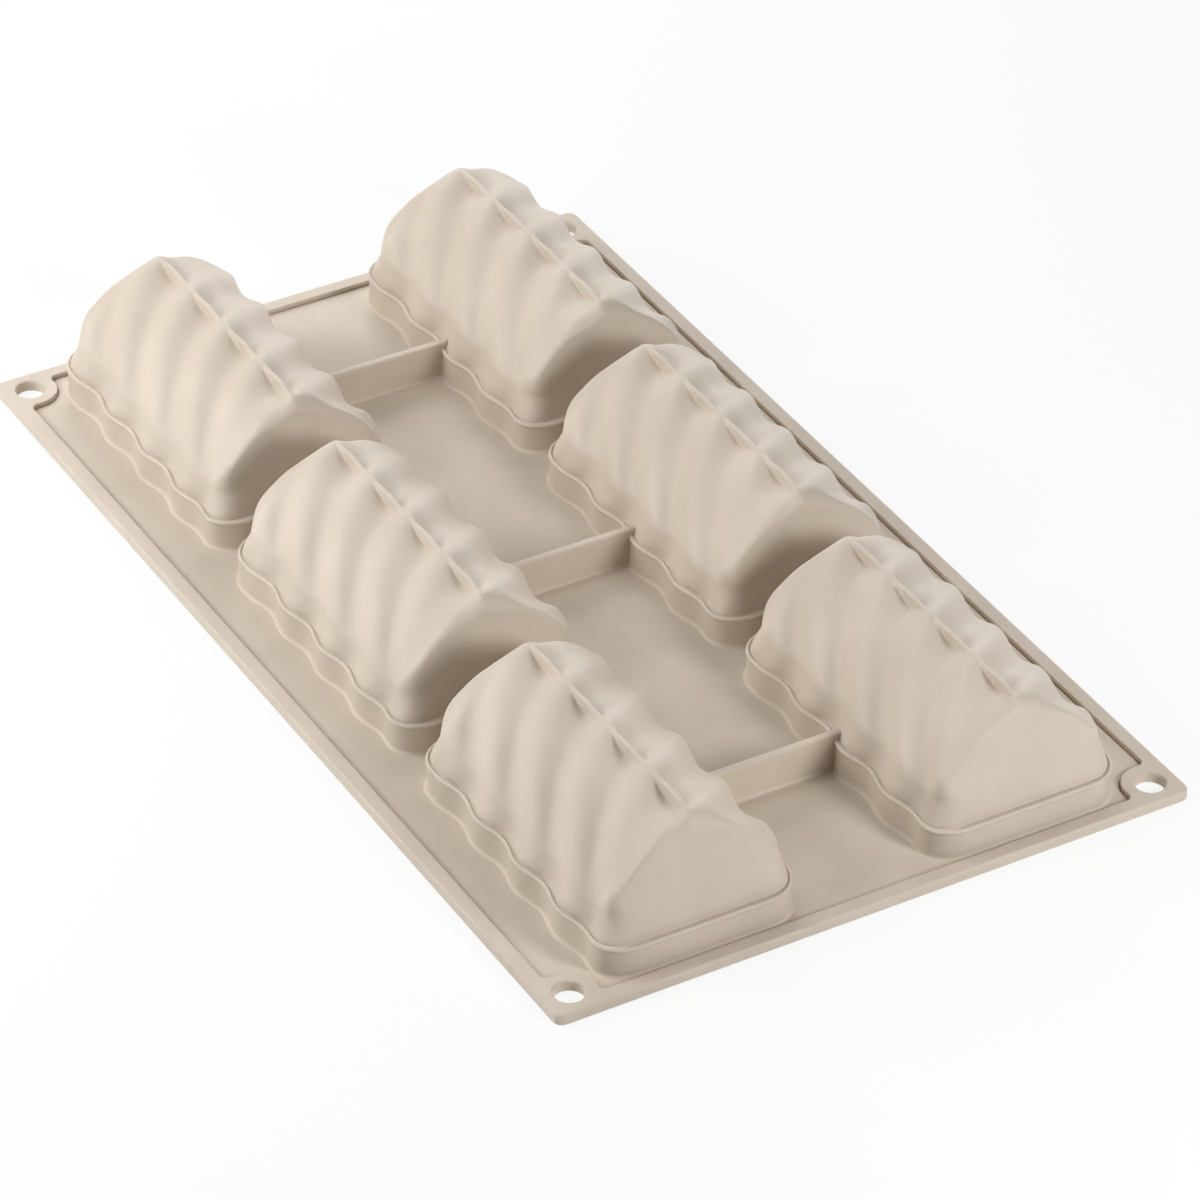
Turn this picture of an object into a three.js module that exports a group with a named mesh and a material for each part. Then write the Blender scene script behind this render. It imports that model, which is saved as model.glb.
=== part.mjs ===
// Silicone dessert mould, upside down on its flat face: a thin web inside a raised rim, with corner eyelets,
// fluted log-shaped cavities on wavy collars, and a rib that ties the two cavities of each row.
// Millimetres, +Z up, +Y along the plate, the flat face at z = 0 and the plate centred on the Z axis.
import * as THREE from "three";
import { mergeVertices } from "three/addons/utils/BufferGeometryUtils.js";

// Layout of the cavities, front row nearest to -Y and left column nearest to -X
const ROWS = ["front", "middle", "back"];
const COLUMNS = ["left", "right"];
const ROW_GAP = 5.5; // between the collars of neighbouring rows
const COLUMN_GAP = 34.2; // between the collars of the two columns, lobe to lobe
const END_MARGIN = 1.3; // from the end collars to the rim
const EYELET_GAP = 0.8; // from the side lobes of a collar to the line of the corner eyelets

// Plate: web, rim and corner eyelets
const WEB_THICKNESS = 1.7;
const RIM_HEIGHT = 1.3; // above the web
const RIM_WIDTH = 4;
const HOLE_DIAMETER = 7.5;
const EYELET_MARGIN = 3.35; // material round a hanging hole
const PLATE_CORNER = 2.5;

// Collars
const COLLAR_WIDTH = 55.4; // lobe to lobe
const COLLAR_LENGTH = 92.8;
const COLLAR_HEIGHT = 8.6; // above the web
const COLLAR_CORNER = 10;
const COLLAR_DRAFT = 0.2; // how far the foot stands out past the top
const COLLAR_FLUTE_DEPTH = 1.7;
const SIDE_LEDGE = 1.4; // from the collar's side to the shell
const END_LEDGE = 2.2; // from the collar's end to the shell

// Cavity shells
const WALL = 2; // thickness of collars and shells
const SHELL_HEIGHT = 27.4; // above the collar's ledge
const SHELL_CORNER = 7; // at the foot, seen from above
const ROOF_CORNER = 2; // the same on the roof
const CORNER_HEIGHT = 16; // over which the corners tighten
const SIDE_DRAFT = THREE.MathUtils.degToRad(7.5);
const SIDE_HEIGHT = 7.2; // of the straight side, before it bends into the roof
const SIDE_PULL = 5.5; // how far the bend follows the side
const ROOF_PULL = 12; // how far the bend follows the roof
const CREST_SLOPE = THREE.MathUtils.degToRad(12);
const END_LEAN = THREE.MathUtils.degToRad(9);
const END_ROLL = 1.5; // how far the roof's end is rolled back at the crest
const END_ROLL_HEIGHT = 4.5;
const SPINE_HALF_WIDTH = 1.1; // flat crest that runs the length of the roof
const SPINE_BLEND = 2.4; // from the crest down to the full depth of the flutes

// Flutes: waves along the sides that swirl over the roof, forwards on one side and backwards on the other
const FLUTE_PITCH = 19.45;
const FLUTE_SWIRL = 24.4; // drift along Y from the crest to the foot of the shell
const FLUTE_LEAD = 5; // makes the drift start a little fast
const FLUTE_HOOK = 60; // makes the drift pass its end on the side, and hook back to it at the foot
const LAST_LOBE = 3; // lobe, counted from the middle of a side, behind which its first flute starts
const CREST_FLUTE_DEPTH = 2.9;
const ROOF_FLUTE_DEPTH = 1.6;
const SIDE_FLUTE_DEPTH = 2.1;
// Shares of the way down from the crest between which the roof's flutes begin, and go over into the side's
const ROOF_STARTS = [0.02, 0.25];
const ROOF_STOPS = [0.54, 0.73];
const NEAR_FADE = [2, 16]; // distances from an end over which the roof's flutes that run towards it fade
const FAR_FADE = [2, 9]; // the same for flutes that run away from it
const FADED_CUT = 0.5; // what is left of the flutes' depth where they have faded

// Tie ribs
const RIB_THICKNESS = 2.2;
const RIB_RISE = 1.7; // above the collars' ledges

// Fit
const CLEARANCE = 0.3; // between neighbours that meet on a curve

// Fineness of the facets
const STEPS_PER_FLUTE = 5;
const STEPS_PER_CORNER = 3;
const STEPS_PER_ARC = 8;
const SIDE_HEIGHT_STEPS = 1;
const ROOF_STEPS = 6;
const MERGE_DISTANCE = 1e-4; // points closer than this become one

// Sizes that follow from the ones above
const EYELET_SIZE = HOLE_DIAMETER + 2 * EYELET_MARGIN;
const PLATE_WIDTH = 2 * (EYELET_SIZE + EYELET_GAP + COLLAR_WIDTH) + COLUMN_GAP;
const PLATE_LENGTH =
  2 * (RIM_WIDTH + END_MARGIN) + ROWS.length * COLLAR_LENGTH + (ROWS.length - 1) * ROW_GAP;
const RIM_TOP = WEB_THICKNESS + RIM_HEIGHT;
const LEDGE_TOP = WEB_THICKNESS + COLLAR_HEIGHT;
const HALF_WIDTH = PLATE_WIDTH / 2;
const HALF_LENGTH = PLATE_LENGTH / 2;
const EYELET_X = HALF_WIDTH - EYELET_SIZE / 2;
const EYELET_Y = HALF_LENGTH - EYELET_SIZE / 2;
const COLUMN_X = (COLLAR_WIDTH + COLUMN_GAP) / 2;
const ROW_PITCH = COLLAR_LENGTH + ROW_GAP;

const silicone = new THREE.MeshStandardMaterial({ color: 0xcfc3b2, roughness: 0.6, metalness: 0 });

function namedMesh(name, geometry) {
  const mesh = new THREE.Mesh(geometry, silicone);
  mesh.name = name;
  return mesh;
}

// A closed geometry from rings of points that all run the same way round, each joined to the next by
// squares that are cut along their shorter diagonal.
// Extra triangles, as triples of points, close what the rings leave open.
function ringGeometry(rings, extraTriangles = []) {
  const triangles = [];
  for (let k = 0; k + 1 < rings.length; k++) {
    const lower = rings[k];
    const upper = rings[k + 1];
    for (let i = 0; i < lower.length; i++) {
      const next = (i + 1) % lower.length;
      const [a, b, c, d] = [lower[i], lower[next], upper[next], upper[i]];
      if (a.distanceTo(c) < b.distanceTo(d)) triangles.push([a, b, c], [a, c, d]);
      else triangles.push([a, b, d], [b, c, d]);
    }
  }
  const points = [...triangles, ...extraTriangles].flat();
  return mergeVertices(new THREE.BufferGeometry().setFromPoints(points), MERGE_DISTANCE);
}

const { lerp, smoothstep } = THREE.MathUtils;

// How deep into a flute a point lies, from 0 on a lobe to 1 in a valley. The side is +1 or -1.
function fluteValley(y, side, drift) {
  const along = Math.max((side * y - drift) / FLUTE_PITCH, -LAST_LOBE);
  return 0.5 - 0.5 * Math.cos(2 * Math.PI * along);
}

// How far the flutes have drifted along Y at a share of the way from the crest to the foot.
function fluteDrift(share) {
  return FLUTE_SWIRL * share + (FLUTE_LEAD + FLUTE_HOOK * share ** 2) * share * (1 - share);
}

function fluteDepth(share) {
  const roof = lerp(CREST_FLUTE_DEPTH, ROOF_FLUTE_DEPTH, smoothstep(share, ...ROOF_STARTS));
  return lerp(roof, SIDE_FLUTE_DEPTH, smoothstep(share, ...ROOF_STOPS));
}

// Each ring round a cavity has the same number of steps along its sides, set by the collar's length.
const SIDE_STEPS = Math.round(((COLLAR_LENGTH - 2 * COLLAR_CORNER) / FLUTE_PITCH) * STEPS_PER_FLUTE);

// One ring round a cavity at one level, counter-clockwise from above, starting along the +X side.
// The level holds the lobes' half width and half length, and how much the flutes fade at the end that they
// run towards and at the far end. The flutes cut in along its normal.
function cavityRing({ halfWidth, halfLength, corner, height, depth, drift, nearFade, farFade, normal }) {
  const straight = halfLength - corner;
  const ring = [];
  const addPoint = (x, y, side, facing) => {
    const near = lerp(1, smoothstep(halfLength - side * y, ...NEAR_FADE), nearFade);
    const far = lerp(1, smoothstep(halfLength + side * y, ...FAR_FADE), farFade);
    const cut = depth * lerp(FADED_CUT, fluteValley(y, side, drift), near * far) * facing ** 2;
    ring.push(new THREE.Vector3(x - side * cut * normal.x, y, height - cut * normal.y));
  };
  for (const side of [1, -1]) {
    for (let i = 0; i <= SIDE_STEPS; i++) {
      addPoint(side * halfWidth, side * straight * ((2 * i) / SIDE_STEPS - 1), side, 1);
    }
    for (const turnSide of [1, -1]) {
      for (let i = 0; i < STEPS_PER_CORNER; i++) {
        const step = turnSide > 0 ? i + 1 : STEPS_PER_CORNER - i;
        const angle = (step / STEPS_PER_CORNER) * (Math.PI / 2);
        const x = turnSide * side * (halfWidth - corner + corner * Math.cos(angle));
        addPoint(x, side * (straight + corner * Math.sin(angle)), turnSide * side, Math.cos(angle));
      }
    }
  }
  return ring;
}

// The triangles that close a cavity's top ring, facing up or down.
function crestCap(ring, facingUp) {
  const half = ring.length / 2;
  const triangles = [];
  const add = (a, b, c) => triangles.push(facingUp ? [a, b, c] : [a, c, b]);
  for (let i = 0; i < SIDE_STEPS; i++) {
    const across = half + SIDE_STEPS - i;
    add(ring[i], ring[i + 1], ring[across - 1]);
    add(ring[i], ring[across - 1], ring[across]);
  }
  for (const start of [SIDE_STEPS, half + SIDE_STEPS]) {
    const end = (i) => ring[(start + i) % ring.length];
    for (let i = 1; i <= 2 * STEPS_PER_CORNER; i++) {
      add(end(0), end(i), end(i + 1));
    }
  }
  return triangles;
}

// A level of the collar: a ring set in from the collar's side, straight up and down.
function collarRing(inset, height) {
  return cavityRing({
    halfWidth: COLLAR_WIDTH / 2 - inset,
    halfLength: COLLAR_LENGTH / 2 - inset,
    corner: COLLAR_CORNER - inset,
    height,
    depth: COLLAR_FLUTE_DEPTH,
    drift: FLUTE_SWIRL,
    nearFade: 0,
    farFade: 0,
    normal: new THREE.Vector2(1, 0),
  });
}

// Half of a shell's cross-section, set in from the outside: up the side, then round to the crest.
function shellSection(inset) {
  const foot = new THREE.Vector2(COLLAR_WIDTH / 2 - SIDE_LEDGE - inset, LEDGE_TOP);
  const bend = foot.clone().add(new THREE.Vector2(-SIDE_HEIGHT * Math.tan(SIDE_DRAFT), SIDE_HEIGHT));
  const crest = new THREE.Vector2(SPINE_HALF_WIDTH, LEDGE_TOP + SHELL_HEIGHT - inset);
  const alongSide = new THREE.Vector2(-Math.sin(SIDE_DRAFT), Math.cos(SIDE_DRAFT));
  const alongRoof = new THREE.Vector2(Math.cos(CREST_SLOPE), -Math.sin(CREST_SLOPE));
  const sideHandle = bend.clone().addScaledVector(alongSide, SIDE_PULL - inset);
  const roofHandle = crest.clone().addScaledVector(alongRoof, ROOF_PULL);
  return [
    { curve: new THREE.LineCurve(foot, bend), steps: SIDE_HEIGHT_STEPS },
    { curve: new THREE.CubicBezierCurve(bend, sideHandle, roofHandle, crest), steps: ROOF_STEPS },
  ];
}

// The shell's half length at a height: its ends lean in, and roll back at the crest.
function shellHalfLength(height, inset) {
  const foot = COLLAR_LENGTH / 2 - END_LEDGE - inset;
  const belowCrest = LEDGE_TOP + SHELL_HEIGHT - inset - height;
  const roll = Math.max(0, 1 - belowCrest / END_ROLL_HEIGHT);
  return foot - (height - LEDGE_TOP) * Math.tan(END_LEAN) - END_ROLL * roll ** 2;
}

// The shell's corner radius at a height, seen from above, no more than its half width there allows.
function shellCorner(height, halfWidth, inset) {
  const rise = Math.min((height - LEDGE_TOP) / CORNER_HEIGHT, 1);
  const corner = lerp(SHELL_CORNER, ROOF_CORNER, rise) - inset / 2;
  return Math.min(corner, halfWidth - SPINE_HALF_WIDTH / 2);
}

// The rings of one face of a shell, from its foot to its crest.
function shellRings(inset) {
  const foot = shellSection(inset)[0].curve.getPoint(0);
  const levels = [{ point: foot, normal: new THREE.Vector2(1, 0), fromFoot: 0 }];
  for (const { curve, steps } of shellSection(inset)) {
    for (let i = 1; i <= steps; i++) {
      const point = curve.getPoint(i / steps);
      const tangent = curve.getTangent(i / steps);
      const normal = new THREE.Vector2(tangent.y, -tangent.x);
      const last = levels.at(-1);
      levels.push({ point, normal, fromFoot: last.fromFoot + point.distanceTo(last.point) });
    }
  }
  const length = levels.at(-1).fromFoot;
  return levels.map(({ point, normal, fromFoot }) => {
    const fromCrest = length - fromFoot;
    const share = fromCrest / length;
    const offSpine = smoothstep(fromCrest, 0, SPINE_BLEND);
    const onFoot = fromFoot === 0;
    const offCrest = smoothstep(share, ...ROOF_STARTS);
    return cavityRing({
      halfWidth: point.x,
      halfLength: shellHalfLength(point.y, inset),
      corner: shellCorner(point.y, point.x, inset),
      height: point.y,
      depth: onFoot ? COLLAR_FLUTE_DEPTH : fluteDepth(share) * offSpine,
      drift: fluteDrift(share),
      nearFade: offCrest * (1 - smoothstep(share, ...ROOF_STOPS)),
      farFade: onFoot ? 0 : offCrest,
      normal,
    });
  });
}

// The collar's foot stands on the web. Its ledge carries the shell and ends flush with the shell's inside.
function collarGeometry() {
  const mouth = shellRings(WALL)[0];
  const lowerMouth = mouth.map((p) => p.clone().setZ(LEDGE_TOP - WALL));
  const rings = [
    collarRing(-COLLAR_DRAFT, WEB_THICKNESS),
    collarRing(0, LEDGE_TOP),
    mouth,
    lowerMouth,
    collarRing(WALL, LEDGE_TOP - WALL),
    collarRing(WALL, WEB_THICKNESS),
  ];
  return ringGeometry([...rings, rings[0]]);
}

// The shell is one wall thick, open below, and stands on the collar's ledge.
function shellGeometry() {
  const outside = shellRings(0);
  const inside = shellRings(WALL);
  const caps = [...crestCap(outside.at(-1), true), ...crestCap(inside.at(-1), false)];
  return ringGeometry([...inside.reverse(), ...outside], caps);
}

// The closed outline that a list of first-quadrant points makes when it is mirrored over both axes.
function fourfoldOutline(quarter) {
  const mirrored = (x, y, points) => points.map((p) => new THREE.Vector2(x * p.x, y * p.y));
  const backwards = [...quarter].reverse();
  return [
    ...quarter,
    ...mirrored(-1, 1, backwards),
    ...mirrored(-1, -1, quarter),
    ...mirrored(1, -1, backwards),
  ];
}

// The web fills the rim, leaves room for the eyelets and is cut through by every cavity's mouth.
function webGeometry() {
  const radius = EYELET_SIZE / 2 + CLEARANCE;
  const right = HALF_WIDTH - RIM_WIDTH;
  const back = HALF_LENGTH - RIM_WIDTH;
  const quarter = new THREE.Path();
  quarter.moveTo(right, EYELET_Y - radius);
  quarter.lineTo(EYELET_X, EYELET_Y - radius);
  quarter.absarc(EYELET_X, EYELET_Y, radius, -Math.PI / 2, -Math.PI, true);
  quarter.lineTo(EYELET_X - radius, back);
  const shape = new THREE.Shape(fourfoldOutline(quarter.getPoints(STEPS_PER_ARC)));
  for (const { x, y } of cavityPlaces()) {
    const mouth = collarRing(WALL, 0).map((p) => new THREE.Vector2(p.x + x, p.y + y));
    shape.holes.push(new THREE.Path(mouth));
  }
  return new THREE.ExtrudeGeometry(shape, { depth: WEB_THICKNESS, bevelEnabled: false });
}

// A corner eyelet for the +X +Y corner, round on its inner corner and pierced by a hanging hole.
function eyeletGeometry() {
  const inner = HALF_WIDTH - EYELET_SIZE;
  const low = HALF_LENGTH - EYELET_SIZE;
  const shape = new THREE.Shape();
  shape.moveTo(EYELET_X, low);
  shape.lineTo(HALF_WIDTH, low);
  shape.absarc(HALF_WIDTH - PLATE_CORNER, HALF_LENGTH - PLATE_CORNER, PLATE_CORNER, 0, Math.PI / 2, false);
  shape.lineTo(inner, HALF_LENGTH);
  shape.absarc(EYELET_X, EYELET_Y, EYELET_SIZE / 2, Math.PI, 1.5 * Math.PI, false);
  const hole = new THREE.Path().absarc(EYELET_X, EYELET_Y, HOLE_DIAMETER / 2, 0, 2 * Math.PI, false);
  shape.holes.push(hole);
  return new THREE.ExtrudeGeometry(shape, {
    depth: RIM_TOP,
    bevelEnabled: false,
    curveSegments: STEPS_PER_ARC,
  });
}

// Where a rib ends that stops short of a ring, wherever the waves put the ring across the rib's thickness.
function ribEnd(ring) {
  const half = RIB_THICKNESS / 2;
  let reach = 0;
  for (let i = 0; i < SIDE_STEPS; i++) {
    const [a, b] = [ring[i], ring[i + 1]];
    for (const y of [a.y, b.y, -half, half]) {
      const within = Math.abs(y) <= half && y >= a.y && y <= b.y;
      const x = THREE.MathUtils.mapLinear(y, a.y, b.y, a.x, b.x);
      if (within) reach = Math.max(reach, x);
    }
  }
  return COLUMN_X - reach - CLEARANCE;
}

// The rib stands on the web between two collars, and runs over their ledges to the shells.
function ribGeometry() {
  const foot = ribEnd(collarRing(-COLLAR_DRAFT, 0));
  const tongue = ribEnd(shellRings(0)[0]);
  const right = [
    new THREE.Vector2(foot, WEB_THICKNESS),
    new THREE.Vector2(foot, LEDGE_TOP),
    new THREE.Vector2(tongue, LEDGE_TOP),
    new THREE.Vector2(tongue, LEDGE_TOP + RIB_RISE),
  ];
  const left = right.map((p) => new THREE.Vector2(-p.x, p.y)).reverse();
  const shape = new THREE.Shape([...right, ...left]);
  const geometry = new THREE.ExtrudeGeometry(shape, { depth: RIB_THICKNESS, bevelEnabled: false });
  return geometry.rotateX(Math.PI / 2).translate(0, RIB_THICKNESS / 2, 0);
}

function cavityPlaces() {
  return ROWS.flatMap((row, r) =>
    COLUMNS.map((column, c) => ({
      name: `${row}_${column}`,
      x: (2 * c - 1) * COLUMN_X,
      y: (r - (ROWS.length - 1) / 2) * ROW_PITCH,
    })),
  );
}

const mould = new THREE.Group();
mould.add(namedMesh("web_plate", webGeometry()));

const sideRail = new THREE.BoxGeometry(RIM_WIDTH, PLATE_LENGTH - 2 * EYELET_SIZE, RIM_TOP);
const endRail = new THREE.BoxGeometry(PLATE_WIDTH - 2 * EYELET_SIZE, RIM_WIDTH, RIM_TOP);
for (const [name, side] of [["left", -1], ["right", 1]]) {
  const rail = namedMesh(`rim_rail_${name}`, sideRail);
  rail.position.set(side * (HALF_WIDTH - RIM_WIDTH / 2), 0, RIM_TOP / 2);
  mould.add(rail);
}
for (const [name, side] of [["front", -1], ["back", 1]]) {
  const rail = namedMesh(`rim_rail_${name}`, endRail);
  rail.position.set(0, side * (HALF_LENGTH - RIM_WIDTH / 2), RIM_TOP / 2);
  mould.add(rail);
}

const eyelet = eyeletGeometry();
for (const [row, y] of [["front", -1], ["back", 1]]) {
  for (const [column, x] of [["left", -1], ["right", 1]]) {
    const mesh = namedMesh(`corner_eyelet_${row}_${column}`, eyelet);
    mesh.scale.set(x, y, 1);
    mould.add(mesh);
  }
}

const collar = collarGeometry();
const shell = shellGeometry();
for (const { name, x, y } of cavityPlaces()) {
  const cavity = new THREE.Group();
  cavity.position.set(x, y, 0);
  cavity.add(namedMesh(`cavity_collar_${name}`, collar));
  cavity.add(namedMesh(`cavity_shell_${name}`, shell));
  mould.add(cavity);
}

const rib = ribGeometry();
ROWS.forEach((row, r) => {
  const mesh = namedMesh(`tie_rib_${row}`, rib);
  mesh.position.set(0, (r - (ROWS.length - 1) / 2) * ROW_PITCH, 0);
  mould.add(mesh);
});

export default mould;
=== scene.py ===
"""Silicone dessert mould, upside down on its flat face: its looks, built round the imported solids.

Metres, +Z up and +Y along the plate, in the frame of the solids. The real mould is one flexible moulding,
so neighbouring pieces run into each other with small fillets.
"""
import math
from collections import namedtuple
from functools import partial

import bmesh
import bpy
from mathutils import Matrix, Vector


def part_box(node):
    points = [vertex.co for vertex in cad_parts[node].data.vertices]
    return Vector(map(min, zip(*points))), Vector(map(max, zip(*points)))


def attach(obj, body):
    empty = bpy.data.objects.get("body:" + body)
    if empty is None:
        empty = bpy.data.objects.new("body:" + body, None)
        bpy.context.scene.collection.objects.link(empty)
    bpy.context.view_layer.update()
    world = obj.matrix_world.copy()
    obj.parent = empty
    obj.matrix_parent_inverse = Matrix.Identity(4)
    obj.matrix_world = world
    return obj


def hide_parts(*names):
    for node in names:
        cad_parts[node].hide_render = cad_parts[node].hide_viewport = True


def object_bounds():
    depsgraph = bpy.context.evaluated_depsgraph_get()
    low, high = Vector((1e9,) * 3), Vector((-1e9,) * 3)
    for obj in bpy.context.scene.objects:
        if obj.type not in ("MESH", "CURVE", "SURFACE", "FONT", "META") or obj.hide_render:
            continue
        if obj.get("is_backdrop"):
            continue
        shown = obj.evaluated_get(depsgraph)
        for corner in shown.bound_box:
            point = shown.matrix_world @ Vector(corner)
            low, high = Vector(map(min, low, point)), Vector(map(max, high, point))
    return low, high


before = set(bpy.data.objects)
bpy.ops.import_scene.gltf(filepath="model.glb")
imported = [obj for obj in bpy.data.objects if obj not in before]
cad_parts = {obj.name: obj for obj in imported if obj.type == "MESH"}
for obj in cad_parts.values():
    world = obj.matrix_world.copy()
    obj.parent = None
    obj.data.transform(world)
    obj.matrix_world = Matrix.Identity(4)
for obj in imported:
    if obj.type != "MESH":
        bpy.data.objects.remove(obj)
cad_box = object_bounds()

MM = 0.001
BODY = "root"
ROWS = ("front", "middle", "back")
COLUMNS = ("left", "right")

# Heights, sizes and places that the solids give
WEB_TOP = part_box("web_plate")[1].z
RIM_LOW, RIM_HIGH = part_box("rim_rail_left")
RIM_TOP = RIM_HIGH.z
RIM_WIDTH = RIM_HIGH.x - RIM_LOW.x
LEDGE_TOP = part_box("cavity_collar_front_left")[1].z
CREST_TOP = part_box("cavity_shell_front_left")[1].z
EYELET_LOW, EYELET_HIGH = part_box("corner_eyelet_back_right")
HALF_WIDTH = EYELET_HIGH.x
HALF_LENGTH = EYELET_HIGH.y
RIB_LOW, RIB_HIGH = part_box("tie_rib_middle")

# Plate
PLATE_CORNER = 2.5 * MM
HOLE_RADIUS = 3.75 * MM
PLATE_EDGE = 0.7 * MM  # rounding of the upper edges of the plate and its holes
PLATE_UNDER_EDGE = 0.3 * MM  # rounding of their lower edges
STEP_EDGE = 0.25 * MM  # rounding of the rim's inner edge
FLAT_MARGIN = 0.04 * MM  # strip of the flat face beside a rounded edge that shades with the edge
GROOVE_WIDTH = 0.45 * MM  # of the groove between the rim's inner edge and the web
GROOVE_DEPTH = 0.6 * MM
OPENING_CORNER = 1.6 * MM  # where the rim's inner edge turns off to an eyelet
MOUTH_EDGE = 0.5 * MM  # rounding of the cavities' mouths in the flat face

# Collars
COLLAR_HALF_WIDTH = 27.7 * MM  # at the lobes
COLLAR_HALF_LENGTH = 46.4 * MM
COLLAR_CORNER = 10 * MM
COLLAR_DRAFT = 0.2 * MM  # how far the wall's foot stands out past its top under the lip
COLLAR_FLUTE_DEPTH = 1.7 * MM
COLLAR_EDGE = 0.7 * MM  # rounding of the ledge's outer edge
COLLAR_LIP = 0.45 * MM  # how far the ledge's edge stands out past the wall under it
COLLAR_LIP_HEIGHT = 0.8 * MM
FOOT_FILLET = 1.0 * MM  # between a collar and the web
SIDE_LEDGE = 1.4 * MM  # from the collar's side to the shell
END_LEDGE = 2.2 * MM  # from the collar's end to the shell
WALL = 2 * MM

# Shells
SHELL_CORNER = 7 * MM  # rounding of the upright edges at the foot
ROOF_CORNER = 1.2 * MM  # rounding of the roof's ends
CREST_CORNER = 3.2 * MM  # the same at the crest
INNER_CORNER_SHARE = 0.5  # how round the edges are inside the cavity, as a share of those outside
CORNER_NARROWS = (5 * MM, 16 * MM)  # heights above the ledge between which the corners tighten
CREST_WIDENS = 6 * MM  # height below the crest over which they widen again
SIDE_DRAFT = math.radians(7.5)
SIDE_HEIGHT = 7.2 * MM  # of the straight side, before it bends into the roof
SIDE_PULL = 5.5 * MM  # how far the bend follows the side
ROOF_PULL = 12 * MM  # how far the bend follows the roof
CREST_SLOPE = math.radians(12)
CREST_HALF_WIDTH = 1.1 * MM  # of the rounded strip along the crest
END_LEAN = math.radians(9)
CREASE_FILLET = 0.3 * MM  # between a shell and its ledge
CREASE_DEPTH = 0.4 * MM  # how far the ledge falls towards the foot of the shell
CREASE_BOTTOM = LEDGE_TOP - CREASE_DEPTH

# Flutes: waves along the sides that swirl over the roof, forwards on one side and backwards on the other
FLUTE_PITCH = 19.45 * MM
FLUTE_SWIRL = 24.4 * MM  # drift along Y from the crest to the foot of the shell
FLUTE_LEAD = 3 * MM  # makes the drift start a little fast
FLUTE_HOOK = 80 * MM  # makes the drift pass its end on the side, and hook back to it at the foot
FLUTE_SKEW = 0.15  # radians, makes the side of a flute that faces its lower end steeper
FIRST_LOBE = -3  # lobe at which a side's flutes start, counted from the one at the middle of the crest
CREST_FLUTE_DEPTH = 2.9 * MM
ROOF_FLUTE_DEPTH = 1.85 * MM
SIDE_FLUTE_DEPTH = 2.1 * MM
ROOF_STARTS = (0.02, 0.25)  # shares of the way down from the crest between which the roof's flutes begin
ROOF_STOPS = (0.54, 0.73)  # the same, between which they go over into the flutes of the side
COLLAR_BLEND = 7 * MM  # height over which the flutes take over the collar's depth
NEAR_FADE = (2 * MM, 16 * MM)  # distances from an end over which roof flutes that run towards it fade
FAR_FADE = (2 * MM, 9 * MM)  # the same for flutes that run away from it
NEAR_CUT = 0.5  # how deep the roof is cut at the end that its flutes run towards, as a share of theirs
FAR_CUT = 0.9  # the same at the end that they run away from
FAR_STARTS = (0.12, 0.5)  # shares of the way down from the crest between which that far cut begins
CREST_END_DROP = 0.7 * MM  # how far the crest comes down at its ends
CREST_END_LENGTH = 8 * MM  # over this length
FIN_HALF_WIDTH = 0.55 * MM  # of the fin that stays on the crest between two opposite flutes
FIN_FALL = 0.8 * MM  # width of the step from the fin into a flute
FIN_EDGE = 1.2  # power of that step's fall, above 1 to round its top
FIN_POINT = 0.6  # power of the fin's width along it, below 1 to keep it wide up to its points

# Ribs
RIB_EDGE = 0.6 * MM  # rounding of a rib's upper edges
RIB_FILLET = 1.0 * MM  # between a rib and the web
RIB_REACH = 0.7 * MM  # how far a rib's ends run on past the solid's, into the shells

# Fineness of the meshes
SIDE_STEPS = 120
CORNER_STEPS = 10
END_STEPS = 12
STRAIGHT_STEPS = 10
ROOF_STEPS = 56
ROOF_CROWDING = 1.7  # packs the steps of the roof towards the crest
CREST_STEPS = 4
INNER_STRAIGHT_STEPS = 3
INNER_ROOF_STEPS = 22
FILLET_STEPS = 6
PLATE_CORNER_STEPS = 8
OPENING_STEPS = 6
EYELET_STEPS = 12
HOLE_STEPS = 48
SHARP_ANGLE = math.radians(50)  # edges from this angle on aren't shaded smooth
SUNK = 0.02 * MM  # how far a piece's foot sits inside the piece that carries it

# Silicone: the noises are given by their scale and detail
SILICONE_LIGHT = (0.664, 0.581, 0.486, 1.0)
SILICONE_DARK = (0.614, 0.535, 0.442, 1.0)
SPECK_COLOUR = (0.42, 0.34, 0.26, 1.0)
CLOUD_NOISE = (45.0, 3.0)
CLOUD_RANGE = (0.35, 0.65)  # noise values between which the dark colour turns into the light one
SPECK_NOISE = (700.0, 1.0)
SPECK_RANGE = (0.74, 0.80)  # noise values between which a speck comes up
SPECK_STRENGTH = 0.35
GRAIN_NOISE = (1400.0, 3.0)
GRAIN_RANGE = (0.3, 0.7)  # noise values between which the roughness goes from low to high
ROUGHNESS = (0.46, 0.6)
GRAIN_STRENGTH = 0.12
GRAIN_HEIGHT = 0.1 * MM
SPECULAR_LEVEL = 0.35

# Camera of the photograph, looking at the middle of the flat face before it is moved right and up
CAMERA_AZIMUTH = math.radians(-30.172)
CAMERA_ELEVATION = math.radians(35.682)
CAMERA_ROLL = math.radians(0.432)
CAMERA_DISTANCE = 1.535612
CAMERA_RIGHT = 8.679 * MM
CAMERA_UP = -3.326 * MM
SENSOR_WIDTH = 36.0  # this and the lens are in millimetres, as Blender's cameras have them
LENS = 182.949

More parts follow.
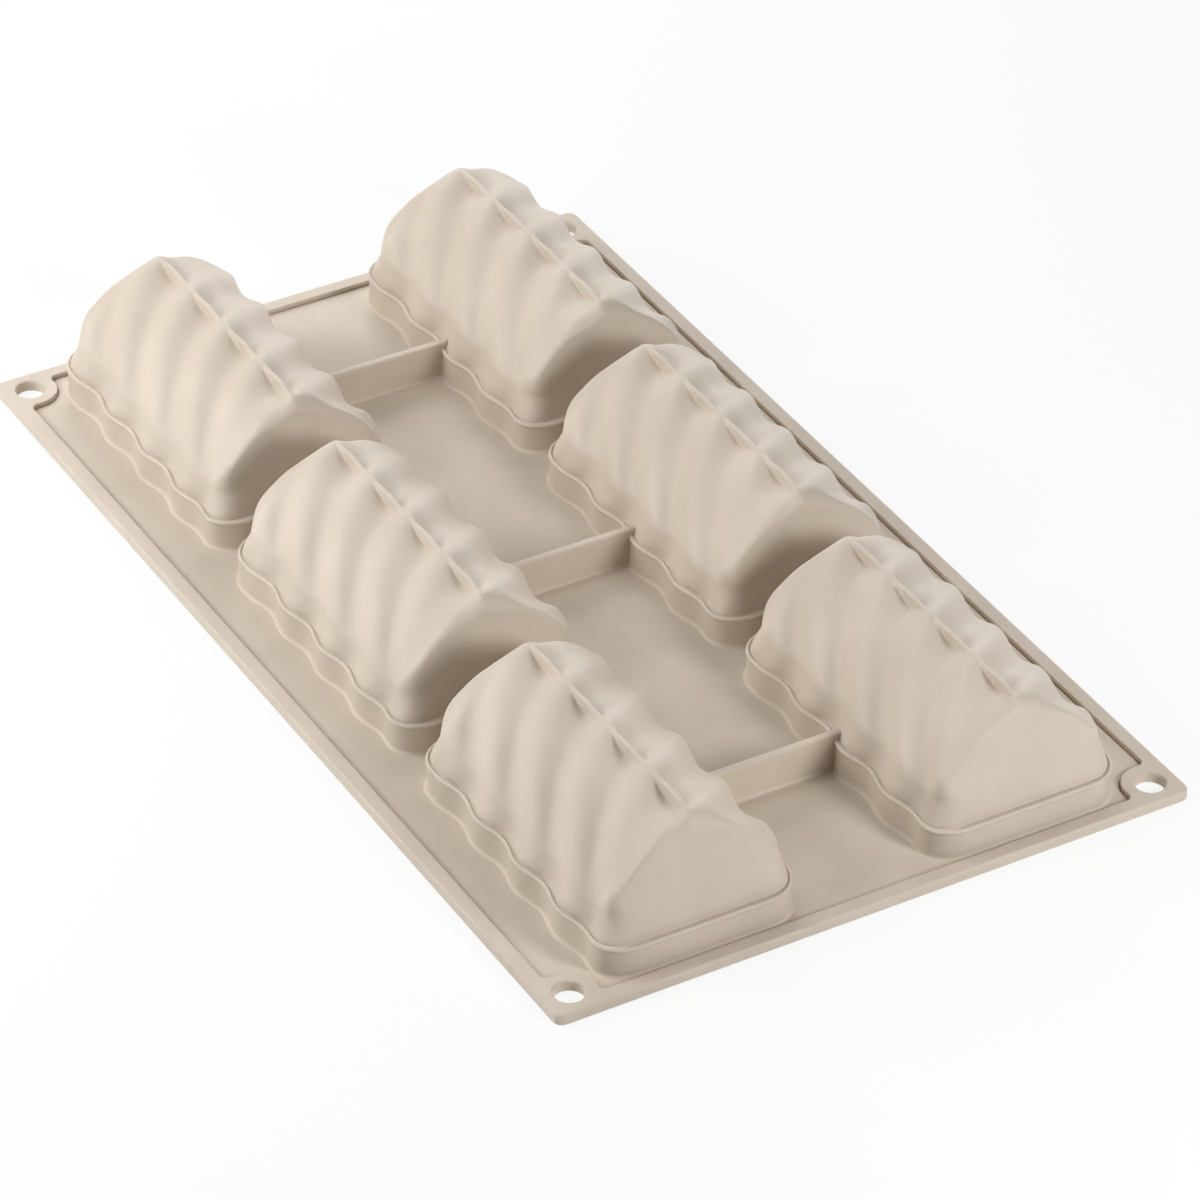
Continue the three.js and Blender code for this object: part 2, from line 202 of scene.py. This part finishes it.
# Studio
SMALL_BOX = 0.2  # side of a small softbox, as a share of its distance
LARGE_BOX = 0.45
NEAR_BOX = 0.6  # distance of a near softbox
FAR_BOX = 1.6
WHITE = (1.0, 1.0, 1.0, 1.0)
SEEN_RAYS = ("Is Camera Ray", "Is Glossy Ray", "Is Transmission Ray")  # these find the studio white
FLOOR_SIZE = 4.0
FLOOR_DROP = 0.05 * MM  # keeps the floor just under the flat face
FLOOR_LIGHT = (0.95, 0.95, 0.95, 1.0)
FLOOR_DARK = (0.93, 0.93, 0.93, 1.0)
FLOOR_NOISE = (3.0, 2.0)  # scale and detail
FLOOR_ROUGHNESS = 0.9
FLOOR_SHADOW_SHARE = 0.15  # how much of the floor's seen colour comes from the light on it


def smoothstep(value, low, high):
    t = min(max((value - low) / (high - low), 0.0), 1.0)
    return t * t * (3.0 - 2.0 * t)


def mix(a, b, t):
    return a + (b - a) * t


def quarter_angles(steps):
    return [0.5 * math.pi * k / steps for k in range(steps + 1)]


# Meshes and pieces


def write_mesh(bm, mesh):
    """Writes a closed mesh with its faces turned outwards."""
    bmesh.ops.recalc_face_normals(bm, faces=bm.faces)
    bm.to_mesh(mesh)
    bm.free()
    return mesh


def smooth_mesh(name, points, faces):
    """A closed mesh that is shaded smooth between its sharp edges."""
    mesh = bpy.data.meshes.new(name)
    mesh.from_pydata(points, [], faces)
    bm = bmesh.new()
    bm.from_mesh(mesh)
    write_mesh(bm, mesh)
    mesh.shade_smooth()
    mesh.set_sharp_from_angle(angle=SHARP_ANGLE)
    return mesh


def add_piece(name, mesh, material, *nodes):
    """Puts a mesh into the scene as a piece that stands for these CAD nodes."""
    mesh.materials.append(material)
    piece = bpy.data.objects.new(name, mesh)
    bpy.context.scene.collection.objects.link(piece)
    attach(piece, BODY)
    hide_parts(*nodes)


def add_copies(kind, mesh, places, material, node_kind):
    """Adds a piece with a copy of a mesh at each named place, and removes the mesh itself."""
    for name, place in places.items():
        copy = mesh.copy()
        copy.name = f"{kind}_{name}"
        copy.transform(Matrix.Translation(place))
        add_piece(f"{kind}_{name}", copy, material, f"{node_kind}_{name}")
    bpy.data.meshes.remove(mesh)


def box_middle(node):
    """The place on the flat face under the middle of a CAD node's box."""
    low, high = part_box(node)
    return Vector((0.5 * (low.x + high.x), 0.5 * (low.y + high.y), 0.0))


def ring_faces(start_a, start_b, count):
    """The squares between two rings of points, which start at these indices."""
    faces = []
    for i in range(count):
        j = (i + 1) % count
        faces.append((start_a + i, start_a + j, start_b + j, start_b + i))
    return faces


def loft(rings, closed):
    """Points and faces of rings that are joined one to the next, and the last to the first if closed."""
    count = len(rings[0])
    points = [p for ring in rings for p in ring]
    faces = []
    for k in range(len(rings) - 1):
        faces += ring_faces(k * count, (k + 1) * count, count)
    if closed:
        faces += ring_faces((len(rings) - 1) * count, 0, count)
    return points, faces


# Cavities

CELLS = [f"{row}_{column}" for row in ROWS for column in COLUMNS]
CAVITIES = {cell: box_middle(f"cavity_collar_{cell}") for cell in CELLS}

Level = namedtuple("Level", (
    "x", "z", "normal", "corner_normal", "inset", "corner", "depth", "drift", "skew",
    "near_fade", "far_fade", "crest", "down", "fin",
))


def flute_valley(y, side, drift, skew):
    """How deep into a flute a point lies, from 0 on a lobe to 1 in a valley."""
    angle = 2.0 * math.pi * (side * y - drift) / FLUTE_PITCH
    phase = max(angle - skew * math.cos(angle), 2.0 * math.pi * FIRST_LOBE)
    return 0.5 - 0.5 * math.cos(phase)


def cavity_ring(straight, side_point, end_distance):
    """A ring round a cavity: half of it along the +X side and the back end, then that half turned round.

    straight is half the length of the side's straight part.
    side_point(side, y, angle) gives a point of a side, or of its rounded edge where y is None.
    end_distance(height) says how far from the middle the end stands.
    """
    half = []
    for i in range(SIDE_STEPS + 1):
        half.append(side_point(1, mix(-straight, straight, i / SIDE_STEPS), 0.0))
    angles = quarter_angles(CORNER_STEPS)[1:]
    right = [side_point(1, None, angle) for angle in angles]
    left = [side_point(-1, None, angle) for angle in angles]
    half += right
    for k in range(1, END_STEPS):
        point = right[-1].lerp(left[-1], k / END_STEPS)
        half.append(Vector((point.x, end_distance(point.z), point.z)))
    half += left[::-1]
    return half + [Vector((-p.x, -p.y, p.z)) for p in half]


def collar_ring(inset, height):
    """A ring of a collar at a height, set in from its outline at the lip."""
    corner = COLLAR_CORNER - inset
    half_width = COLLAR_HALF_WIDTH - inset
    straight = COLLAR_HALF_LENGTH - COLLAR_CORNER

    def side_point(side, y, angle):
        if y is None:
            y = straight + corner * math.sin(angle)
        cut = COLLAR_FLUTE_DEPTH * flute_valley(y, side, FLUTE_SWIRL, 0.0)
        x = half_width - corner + corner * math.cos(angle) - cut
        return Vector((side * x, y, height))

    return cavity_ring(straight, side_point, lambda _: straight + corner)


def end_face(height, inset):
    """How far a shell's end stands from its middle at a height."""
    return COLLAR_HALF_LENGTH - END_LEDGE - inset - (height - LEDGE_TOP) * math.tan(END_LEAN)


def shell_cut(level, side, y, end):
    """How deep a shell's side is cut at a point of a level, where the end face stands at this distance."""
    near = (1.0 - smoothstep(end - side * y, *NEAR_FADE)) * level.near_fade
    far = (1.0 - smoothstep(end + side * y, *FAR_FADE)) * level.far_fade
    valley = flute_valley(y, side, level.drift, level.skew)
    cut = level.depth * mix(mix(valley, NEAR_CUT, near), FAR_CUT, far)
    if level.fin:
        edge = FIN_HALF_WIDTH * flute_valley(y, side, 0.0, 0.0) ** FIN_POINT
        cut *= min(max((level.down - edge) / FIN_FALL, 0.0), 1.0) ** FIN_EDGE
    drop = 1.0 - smoothstep(end - abs(y), 0.0, CREST_END_LENGTH)
    return cut + CREST_END_DROP * level.crest * drop


def shell_ring(level):
    """A ring of a shell at a level."""
    level_end = end_face(level.z, level.inset)

    def side_point(side, y, angle):
        back = level.corner * (1.0 - math.cos(angle))
        x = level.x - back * level.corner_normal.x
        z = level.z - back * level.corner_normal.y
        end = end_face(z, level.inset)
        on_edge = y is None
        if on_edge:
            y = end - level.corner * (1.0 - math.sin(angle))
        cut = shell_cut(level, side, y, end)
        lowered = z - cut * level.normal.y
        if on_edge:
            y += (end_face(lowered, level.inset) - end) * math.sin(angle)
        return Vector((side * (x - cut * level.normal.x), y, lowered))

    return cavity_ring(level_end - level.corner, side_point, lambda height: end_face(height, level.inset))


def bezier(a, b, c, d, t):
    s = 1.0 - t
    return a * s ** 3 + b * (3.0 * s * s * t) + c * (3.0 * s * t * t) + d * t ** 3


def bezier_slope(a, b, c, d, t):
    s = 1.0 - t
    return (b - a) * (3.0 * s * s) + (c - b) * (6.0 * s * t) + (d - c) * (3.0 * t * t)


def shell_section(inset, straight_steps, roof_steps):
    """Points and normals of half a shell's cross-section, from its foot to its crest."""
    foot = Vector((COLLAR_HALF_WIDTH - SIDE_LEDGE - inset, LEDGE_TOP))
    bend = foot + Vector((-SIDE_HEIGHT * math.tan(SIDE_DRAFT), SIDE_HEIGHT))
    rise = 0.5 * CREST_HALF_WIDTH * math.tan(CREST_SLOPE)
    crest = Vector((CREST_HALF_WIDTH, CREST_TOP - inset - rise))
    along_side = Vector((-math.sin(SIDE_DRAFT), math.cos(SIDE_DRAFT)))
    along_roof = Vector((math.cos(CREST_SLOPE), -math.sin(CREST_SLOPE)))
    curve = (bend, bend + along_side * (SIDE_PULL - inset), crest + along_roof * ROOF_PULL, crest)
    side_normal = Vector((math.cos(SIDE_DRAFT), math.sin(SIDE_DRAFT)))
    section = [(foot.lerp(bend, i / straight_steps), side_normal) for i in range(straight_steps)]
    for i in range(roof_steps + 1):
        t = 1.0 - (1.0 - i / roof_steps) ** ROOF_CROWDING
        slope = bezier_slope(*curve, t).normalized()
        section.append((bezier(*curve, t), Vector((slope.y, -slope.x))))
    for i in range(1, CREST_STEPS):
        u = 1.0 - i / CREST_STEPS
        point = Vector((CREST_HALF_WIDTH * u, crest.y + rise * (1.0 - u * u)))
        section.append((point, Vector((math.sin(CREST_SLOPE * u), math.cos(CREST_SLOPE * u)))))
    return section


def shell_corner(height, inset):
    """How round a shell's edge towards its end is at a height."""
    narrow = smoothstep(height - LEDGE_TOP, *CORNER_NARROWS)
    widen = smoothstep(height, CREST_TOP - CREST_WIDENS, CREST_TOP)
    corner = mix(mix(SHELL_CORNER, ROOF_CORNER, narrow), CREST_CORNER, widen)
    return corner * mix(1.0, INNER_CORNER_SHARE, inset / WALL)


def flute_drift(share):
    """How far the flutes have drifted at a share of the way from the crest to the foot."""
    return FLUTE_SWIRL * share + (FLUTE_LEAD + FLUTE_HOOK * share ** 3) * share * (1.0 - share)


def flute_depth(share):
    """How deep the flutes are at a share of the way from the crest to the foot."""
    roof = mix(CREST_FLUTE_DEPTH, ROOF_FLUTE_DEPTH, smoothstep(share, *ROOF_STARTS))
    return mix(roof, SIDE_FLUTE_DEPTH, smoothstep(share, *ROOF_STOPS))


def shell_levels(inset, straight_steps, roof_steps, fin):
    """The levels of one face of a shell, from its foot to its crest."""
    section = shell_section(inset, straight_steps, roof_steps)
    points = [point for point, _ in section]
    downs = [points[-1].x]
    for above, below in zip(points[:0:-1], points[-2::-1]):
        downs.append(downs[-1] + (above - below).length)
    levels = []
    for (point, normal), down in zip(section, reversed(downs)):
        share = down / downs[-1]
        rolled = smoothstep(point.y - LEDGE_TOP, *CORNER_NARROWS)
        off_ledge = smoothstep(point.y - LEDGE_TOP, 0.0, COLLAR_BLEND)
        off_crest = smoothstep(share, *ROOF_STARTS)
        levels.append(Level(
            x=point.x,
            z=point.y,
            normal=normal,
            corner_normal=Vector((normal.x, normal.y * rolled)).normalized(),
            inset=inset,
            corner=shell_corner(point.y, inset),
            depth=mix(COLLAR_FLUTE_DEPTH, flute_depth(share), off_ledge),
            drift=flute_drift(share),
            skew=FLUTE_SKEW * off_crest,
            near_fade=off_crest * (1.0 - smoothstep(share, *ROOF_STOPS)),
            far_fade=smoothstep(share, *FAR_STARTS) * off_ledge,
            crest=1.0 - off_crest,
            down=down,
            fin=fin,
        ))
    return levels


def outside_levels():
    return shell_levels(0.0, STRAIGHT_STEPS, ROOF_STEPS, True)


def inside_levels():
    return shell_levels(WALL, INNER_STRAIGHT_STEPS, INNER_ROOF_STEPS, False)


def crease_rings(foot):
    """Rings that run a shell's side out onto the ledge in a hollow fillet."""
    rings = []
    for angle in quarter_angles(FILLET_STEPS)[:-1]:
        out = CREASE_FILLET * (1.0 - math.sin(angle))
        rise = CREASE_FILLET * (1.0 - math.cos(angle))
        level = foot._replace(
            x=foot.x + out - rise * math.tan(SIDE_DRAFT),
            z=CREASE_BOTTOM - SUNK + rise,
            inset=foot.inset - out,
            corner=foot.corner + out,
            normal=Vector((1.0, 0.0)),
            corner_normal=Vector((1.0, 0.0)),
        )
        rings.append(shell_ring(level))
    return rings


def crest_cap(start, count):
    """The faces that close a shell's top ring, whose points start at this index."""
    half = count // 2

    def face(places):
        return tuple(start + place % count for place in places)

    faces = []
    for i in range(SIDE_STEPS):
        across = half + SIDE_STEPS - i
        faces.append(face((i, i + 1, across - 1, across)))
    for first in (SIDE_STEPS, half + SIDE_STEPS):
        last = first + 2 * CORNER_STEPS + END_STEPS
        for k in range(CORNER_STEPS - 1):
            faces.append(face((first + k, first + k + 1, last - k - 1, last - k)))
        faces.append(face(range(first + CORNER_STEPS - 1, last - CORNER_STEPS + 2)))
    return faces


def shell_mesh():
    outside = outside_levels()
    rings = [shell_ring(level) for level in inside_levels()[::-1]]
    rings += crease_rings(outside[0])
    rings += [shell_ring(level) for level in outside]
    points, faces = loft(rings, False)
    count = len(rings[0])
    faces += crest_cap(0, count)
    faces += crest_cap((len(rings) - 1) * count, count)
    return smooth_mesh("shell", points, faces)


def collar_mesh():
    mouth = shell_ring(inside_levels()[0])
    foot = crease_rings(outside_levels()[0])[0]
    rings = []
    for angle in quarter_angles(FILLET_STEPS):
        out = COLLAR_DRAFT - COLLAR_LIP + FOOT_FILLET * (1.0 - math.sin(angle))
        rings.append(collar_ring(-out, WEB_TOP - SUNK + FOOT_FILLET * (1.0 - math.cos(angle))))
    lip_low = LEDGE_TOP - COLLAR_EDGE - COLLAR_LIP_HEIGHT
    for k in range(FILLET_STEPS):
        t = k / FILLET_STEPS
        inset = COLLAR_LIP * (1.0 - smoothstep(t, 0.0, 1.0))
        rings.append(collar_ring(inset, lip_low + COLLAR_LIP_HEIGHT * t))
    for angle in quarter_angles(FILLET_STEPS):
        inset = COLLAR_EDGE * (1.0 - math.cos(angle))
        rings.append(collar_ring(inset, LEDGE_TOP - COLLAR_EDGE * (1.0 - math.sin(angle))))
    rings.append([Vector((p.x, p.y, CREASE_BOTTOM)) for p in foot])
    rings.append([Vector((p.x, p.y, CREASE_BOTTOM)) for p in mouth])
    rings.append([Vector((p.x, p.y, LEDGE_TOP - WALL)) for p in mouth])
    rings.append(collar_ring(WALL, LEDGE_TOP - WALL))
    rings.append(collar_ring(WALL, WEB_TOP))
    points, faces = loft(rings, True)
    return smooth_mesh("collar", points, faces)


def add_cavities(material):
    add_copies("collar", collar_mesh(), CAVITIES, material, "cavity_collar")
    add_copies("shell", shell_mesh(), CAVITIES, material, "cavity_shell")


# Plate


def arc(centre_x, centre_y, radius, start, end, steps):
    """Points of an arc between two angles, in degrees."""
    points = []
    for k in range(steps + 1):
        angle = math.radians(mix(start, end, k / steps))
        points.append((centre_x + radius * math.cos(angle), centre_y + radius * math.sin(angle)))
    return points


def fourfold(quarter):
    """The closed outline that a first-quadrant outline makes when it is mirrored over both axes."""
    backwards = quarter[::-1]
    outline = list(quarter)
    outline += [(-x, y) for x, y in backwards]
    outline += [(-x, -y) for x, y in quarter]
    outline += [(x, -y) for x, y in backwards]
    return outline


def outer_outline(inset):
    x = HALF_WIDTH - PLATE_CORNER
    y = HALF_LENGTH - PLATE_CORNER
    return fourfold(arc(x, y, PLATE_CORNER - inset, 0, 90, PLATE_CORNER_STEPS))


def opening_outline(inset):
    """The rim's inner edge, which runs round the eyelets, set in towards the middle of the plate."""
    radius = 0.5 * (EYELET_HIGH.x - EYELET_LOW.x)
    turn = OPENING_CORNER - inset
    right = HALF_WIDTH - RIM_WIDTH - OPENING_CORNER
    low = EYELET_LOW.y - OPENING_CORNER
    left = EYELET_LOW.x - OPENING_CORNER
    back = HALF_LENGTH - RIM_WIDTH - OPENING_CORNER
    quarter = arc(right, low, turn, 0, 90, OPENING_STEPS)
    quarter += arc(EYELET_LOW.x + radius, EYELET_LOW.y + radius, radius + inset, 270, 180, EYELET_STEPS)
    quarter += arc(left, back, turn, 0, 90, OPENING_STEPS)
    return fourfold(quarter)


def hole_outline(side_x, side_y, outset):
    x = side_x * (0.5 * (EYELET_LOW.x + EYELET_HIGH.x))
    y = side_y * (0.5 * (EYELET_LOW.y + EYELET_HIGH.y))
    return arc(x, y, HOLE_RADIUS + outset, 0, 360, HOLE_STEPS)[:-1]


def wall_rings(outline, levels):
    """Rings of an outline at (inset, height) levels."""
    return [[Vector((x, y, height)) for x, y in outline(inset)] for inset, height in levels]


def add_wall(bm, rings):
    """Joins rings one to the next, and returns the edges of the first and the last ring."""
    grid = [[bm.verts.new(p) for p in ring] for ring in rings]
    count = len(grid[0])
    for lower, upper in zip(grid, grid[1:]):
        for i in range(count):
            j = (i + 1) % count
            face = bm.faces.new((lower[i], lower[j], upper[j], upper[i]))
            face.smooth = True
    ends = []
    for ring in (grid[0], grid[-1]):
        ends.append([bm.edges.get((ring[i], ring[(i + 1) % count])) for i in range(count)])
    return ends


def fill_flat(bm, edges):
    """Fills a flat face between closed outlines, and keeps it out of the smooth shading."""
    result = bmesh.ops.triangle_fill(bm, use_beauty=True, use_dissolve=False, edges=edges)
    for item in result["geom"]:
        if isinstance(item, bmesh.types.BMFace):
            item.smooth = False


def rounded_edge(radius, height, up):
    """(inset, height) levels that turn from an upright wall into a flat face, above it or below it."""
    levels = []
    for angle in quarter_angles(FILLET_STEPS):
        levels.append((radius * (1.0 - math.cos(angle)), height - up * radius * (1.0 - math.sin(angle))))
    levels.append((radius + FLAT_MARGIN, height))
    return levels


def rim_mesh():
    """The raised border and its corner eyelets."""
    bm = bmesh.new()
    lower = rounded_edge(PLATE_UNDER_EDGE, 0.0, -1.0)
    upper = rounded_edge(PLATE_EDGE, RIM_TOP, 1.0)
    bottom, top = add_wall(bm, wall_rings(outer_outline, lower[::-1] + upper))
    step = [(0.0, 0.0)]
    step += [(-inset, height) for inset, height in rounded_edge(STEP_EDGE, RIM_TOP, 1.0)]
    inner_bottom, inner_top = add_wall(bm, wall_rings(opening_outline, step))
    bottom += inner_bottom
    top += inner_top
    for side_x in (1, -1):
        for side_y in (1, -1):
            outline = partial(hole_outline, side_x, side_y)
            hole_bottom, hole_top = add_wall(bm, wall_rings(outline, lower[::-1] + upper))
            bottom += hole_bottom
            top += hole_top
    fill_flat(bm, bottom)
    fill_flat(bm, top)
    return write_mesh(bm, bpy.data.meshes.new("rim_frame"))


def web_mesh():
    """The thin flat web, pierced by the cavities' mouths, with a groove along the rim."""
    bm = bmesh.new()
    groove = WEB_TOP - GROOVE_DEPTH
    edge = [(-SUNK, 0.0), (-SUNK, groove), (GROOVE_WIDTH, groove), (GROOVE_WIDTH, WEB_TOP)]
    bottom, top = add_wall(bm, wall_rings(opening_outline, edge))
    under = rounded_edge(MOUTH_EDGE, 0.0, -1.0)
    levels = [(WALL - inset, height) for inset, height in under[::-1]] + [(WALL, WEB_TOP)]
    for place in CAVITIES.values():
        rings = [[p + place for p in collar_ring(inset, height)] for inset, height in levels]
        mouth_bottom, mouth_top = add_wall(bm, rings)
        bottom += mouth_bottom
        top += mouth_top
    fill_flat(bm, bottom)
    fill_flat(bm, top)
    return write_mesh(bm, bpy.data.meshes.new("web_sheet"))


def add_plate(material):
    rails = [f"rim_rail_{side}" for side in ("front", "back", "left", "right")]
    eyelets = [f"corner_eyelet_{row}_{column}" for row in ("front", "back") for column in COLUMNS]
    add_piece("rim_frame", rim_mesh(), material, *rails, *eyelets)
    add_piece("web_sheet", web_mesh(), material, "web_plate")


# Ribs


def rib_profile():
    """(y, z) outline of a rib's cross-section, from one foot over its top to the other foot."""
    half = 0.5 * (RIB_HIGH.y - RIB_LOW.y)
    right = []
    for angle in quarter_angles(FILLET_STEPS):
        out = RIB_FILLET * (1.0 - math.sin(angle))
        right.append((half + out, WEB_TOP - SUNK + RIB_FILLET * (1.0 - math.cos(angle))))
    for angle in quarter_angles(FILLET_STEPS):
        inset = RIB_EDGE * (1.0 - math.cos(angle))
        right.append((half - inset, RIB_HIGH.z - RIB_EDGE * (1.0 - math.sin(angle))))
    left = [(-y, z) for y, z in right[::-1]]
    return right + left


def rib_mesh():
    profile = rib_profile()
    reach = RIB_HIGH.x + RIB_REACH
    rings = [[Vector((x, y, z)) for y, z in profile] for x in (-reach, reach)]
    points, faces = loft(rings, False)
    count = len(profile)
    faces.append(tuple(range(count)))
    faces.append(tuple(range(count, 2 * count)))
    return smooth_mesh("rib", points, faces)


def add_ribs(material):
    places = {row: box_middle(f"tie_rib_{row}") for row in ROWS}
    add_copies("rib", rib_mesh(), places, material, "tie_rib")


# Materials


def add_noise(nodes, links, coordinates, scale, detail):
    noise = nodes.new("ShaderNodeTexNoise")
    noise.inputs["Scale"].default_value = scale
    noise.inputs["Detail"].default_value = detail
    links.new(coordinates, noise.inputs["Vector"])
    return noise.outputs["Fac"]


def add_range(nodes, links, value, source, target):
    """Carries a socket's values from one (low, high) range over to another."""
    ramp = nodes.new("ShaderNodeMapRange")
    for name, number in zip(("From Min", "From Max", "To Min", "To Max"), (*source, *target)):
        ramp.inputs[name].default_value = number
    links.new(value, ramp.inputs["Value"])
    return ramp.outputs["Result"]


def add_mix(nodes, links, factor, a, b):
    """A colour mix; a and b are colours or sockets."""
    node = nodes.new("ShaderNodeMix")
    node.data_type = "RGBA"
    links.new(factor, node.inputs["Factor"])
    for name, value in (("A", a), ("B", b)):
        socket = next(s for s in node.inputs if s.name == name and s.type == "RGBA")
        if isinstance(value, tuple):
            socket.default_value = value
        else:
            links.new(value, socket)
    return next(s for s in node.outputs if s.type == "RGBA")


def seen_rays(nodes, links):
    """A socket that is 1 for rays of the kinds in SEEN_RAYS, and 0 for all others."""
    path = nodes.new("ShaderNodeLightPath")
    seen = path.outputs[SEEN_RAYS[0]]
    for name in SEEN_RAYS[1:]:
        larger = nodes.new("ShaderNodeMath")
        larger.operation = "MAXIMUM"
        links.new(seen, larger.inputs[0])
        links.new(path.outputs[name], larger.inputs[1])
        seen = larger.outputs[0]
    return seen


def silicone_material():
    """Warm grey-beige silicone rubber: satin-matt, faintly clouded, with a few specks and a fine grain."""
    material = bpy.data.materials.new("silicone_rubber")
    material.use_nodes = True
    nodes = material.node_tree.nodes
    links = material.node_tree.links
    shader = nodes["Principled BSDF"]
    place = nodes.new("ShaderNodeTexCoord").outputs["Object"]

    cloud_noise = add_noise(nodes, links, place, *CLOUD_NOISE)
    clouds = add_range(nodes, links, cloud_noise, CLOUD_RANGE, (0.0, 1.0))
    colour = add_mix(nodes, links, clouds, SILICONE_DARK, SILICONE_LIGHT)
    speck_noise = add_noise(nodes, links, place, *SPECK_NOISE)
    specks = add_range(nodes, links, speck_noise, SPECK_RANGE, (0.0, SPECK_STRENGTH))
    colour = add_mix(nodes, links, specks, colour, SPECK_COLOUR)
    links.new(colour, shader.inputs["Base Color"])

    grain = add_noise(nodes, links, place, *GRAIN_NOISE)
    roughness = add_range(nodes, links, grain, GRAIN_RANGE, ROUGHNESS)
    links.new(roughness, shader.inputs["Roughness"])
    bump = nodes.new("ShaderNodeBump")
    bump.inputs["Strength"].default_value = GRAIN_STRENGTH
    bump.inputs["Distance"].default_value = GRAIN_HEIGHT
    links.new(grain, bump.inputs["Height"])
    links.new(bump.outputs["Normal"], shader.inputs["Normal"])
    shader.inputs["Specular IOR Level"].default_value = SPECULAR_LEVEL
    return material


def floor_material():
    """A white table top that is seen as white, with part of its shadows."""
    material = bpy.data.materials.new("white_table")
    material.use_nodes = True
    nodes = material.node_tree.nodes
    links = material.node_tree.links
    shader = nodes["Principled BSDF"]
    shader.inputs["Roughness"].default_value = FLOOR_ROUGHNESS
    shader.inputs["Specular IOR Level"].default_value = 0.0
    place = nodes.new("ShaderNodeTexCoord").outputs["Object"]
    tone = add_noise(nodes, links, place, *FLOOR_NOISE)
    white = add_mix(nodes, links, tone, FLOOR_DARK, FLOOR_LIGHT)
    links.new(white, shader.inputs["Base Color"])
    glow = nodes.new("ShaderNodeEmission")
    share = add_range(nodes, links, seen_rays(nodes, links), (0.0, 1.0), (0.0, 1.0 - FLOOR_SHADOW_SHARE))
    blend = nodes.new("ShaderNodeMixShader")
    links.new(share, blend.inputs["Fac"])
    links.new(shader.outputs["BSDF"], blend.inputs[1])
    links.new(glow.outputs["Emission"], blend.inputs[2])
    links.new(blend.outputs["Shader"], nodes["Material Output"].inputs["Surface"])
    return material


# Studio


def camera_axes():
    """The camera's directions to its right, upwards and backwards."""
    cos_a, sin_a = math.cos(CAMERA_AZIMUTH), math.sin(CAMERA_AZIMUTH)
    cos_e, sin_e = math.cos(CAMERA_ELEVATION), math.sin(CAMERA_ELEVATION)
    back = Vector((sin_a * cos_e, -cos_a * cos_e, sin_e))
    right = Vector((cos_a, sin_a, 0.0))
    up = back.cross(right)
    turn = Matrix.Rotation(CAMERA_ROLL, 3, back)
    return turn @ right, turn @ up, back


def add_camera():
    right, up, back = camera_axes()
    camera = bpy.data.cameras.new("camera")
    camera.sensor_width = SENSOR_WIDTH
    camera.lens = LENS
    place = back * CAMERA_DISTANCE + right * CAMERA_RIGHT + up * CAMERA_UP
    rotation = Matrix((right, up, back)).transposed()
    item = bpy.data.objects.new("camera", camera)
    item.matrix_world = Matrix.Translation(place) @ rotation.to_4x4()
    bpy.context.scene.collection.objects.link(item)
    bpy.context.scene.camera = item


def add_softbox(name, azimuth, elevation, distance, spread, power):
    """A square lamp that looks at the middle of the mould; angles in degrees, azimuth from +X towards +Y."""
    lamp = bpy.data.lights.new(name, "AREA")
    lamp.shape = "SQUARE"
    lamp.size = spread * distance
    lamp.energy = power
    item = bpy.data.objects.new(name, lamp)
    turn = math.radians(azimuth)
    rise = math.radians(elevation)
    toward = Vector((math.cos(rise) * math.cos(turn), math.cos(rise) * math.sin(turn), math.sin(rise)))
    aim = toward.to_track_quat("Z", "Y").to_matrix().to_4x4()
    item.matrix_world = Matrix.Translation(toward * distance) @ aim
    bpy.context.scene.collection.objects.link(item)


def add_lights():
    add_softbox("softbox_left_back", 144, 30, NEAR_BOX, LARGE_BOX, 1.41)
    add_softbox("softbox_left", 180, 30, NEAR_BOX, LARGE_BOX, 1.15)
    add_softbox("softbox_top", 144, 72, NEAR_BOX, LARGE_BOX, 0.8)
    add_softbox("softbox_front", 288, 30, NEAR_BOX, SMALL_BOX, 0.78)
    add_softbox("softbox_front_low", 288, 22, NEAR_BOX, SMALL_BOX, 0.82)
    add_softbox("softbox_back", 72, 30, NEAR_BOX, LARGE_BOX, 1.05)
    add_softbox("softbox_right_low", 40, 12, FAR_BOX, LARGE_BOX, 7.4)


def add_world():
    """A white surround for the rays that see or mirror it."""
    world = bpy.data.worlds.new("studio")
    bpy.context.scene.world = world
    world.use_nodes = True
    nodes = world.node_tree.nodes
    links = world.node_tree.links
    background = nodes["Background"]
    background.inputs["Color"].default_value = WHITE
    links.new(seen_rays(nodes, links), background.inputs["Strength"])


def add_floor():
    bm = bmesh.new()
    bmesh.ops.create_grid(bm, x_segments=1, y_segments=1, size=0.5 * FLOOR_SIZE)
    bmesh.ops.translate(bm, verts=bm.verts, vec=(0.0, 0.0, -FLOOR_DROP))
    mesh = bpy.data.meshes.new("floor")
    bm.to_mesh(mesh)
    bm.free()
    mesh.materials.append(floor_material())
    floor = bpy.data.objects.new("floor", mesh)
    bpy.context.scene.collection.objects.link(floor)
    floor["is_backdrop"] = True


silicone = silicone_material()
add_plate(silicone)
add_cavities(silicone)
add_ribs(silicone)
add_camera()
add_lights()
add_world()
add_floor()
bpy.context.scene.view_settings.view_transform = "Standard"

boxes = {"cad": cad_box, "visual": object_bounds()}
{name: [list(corner) for corner in box] for name, box in boxes.items()}
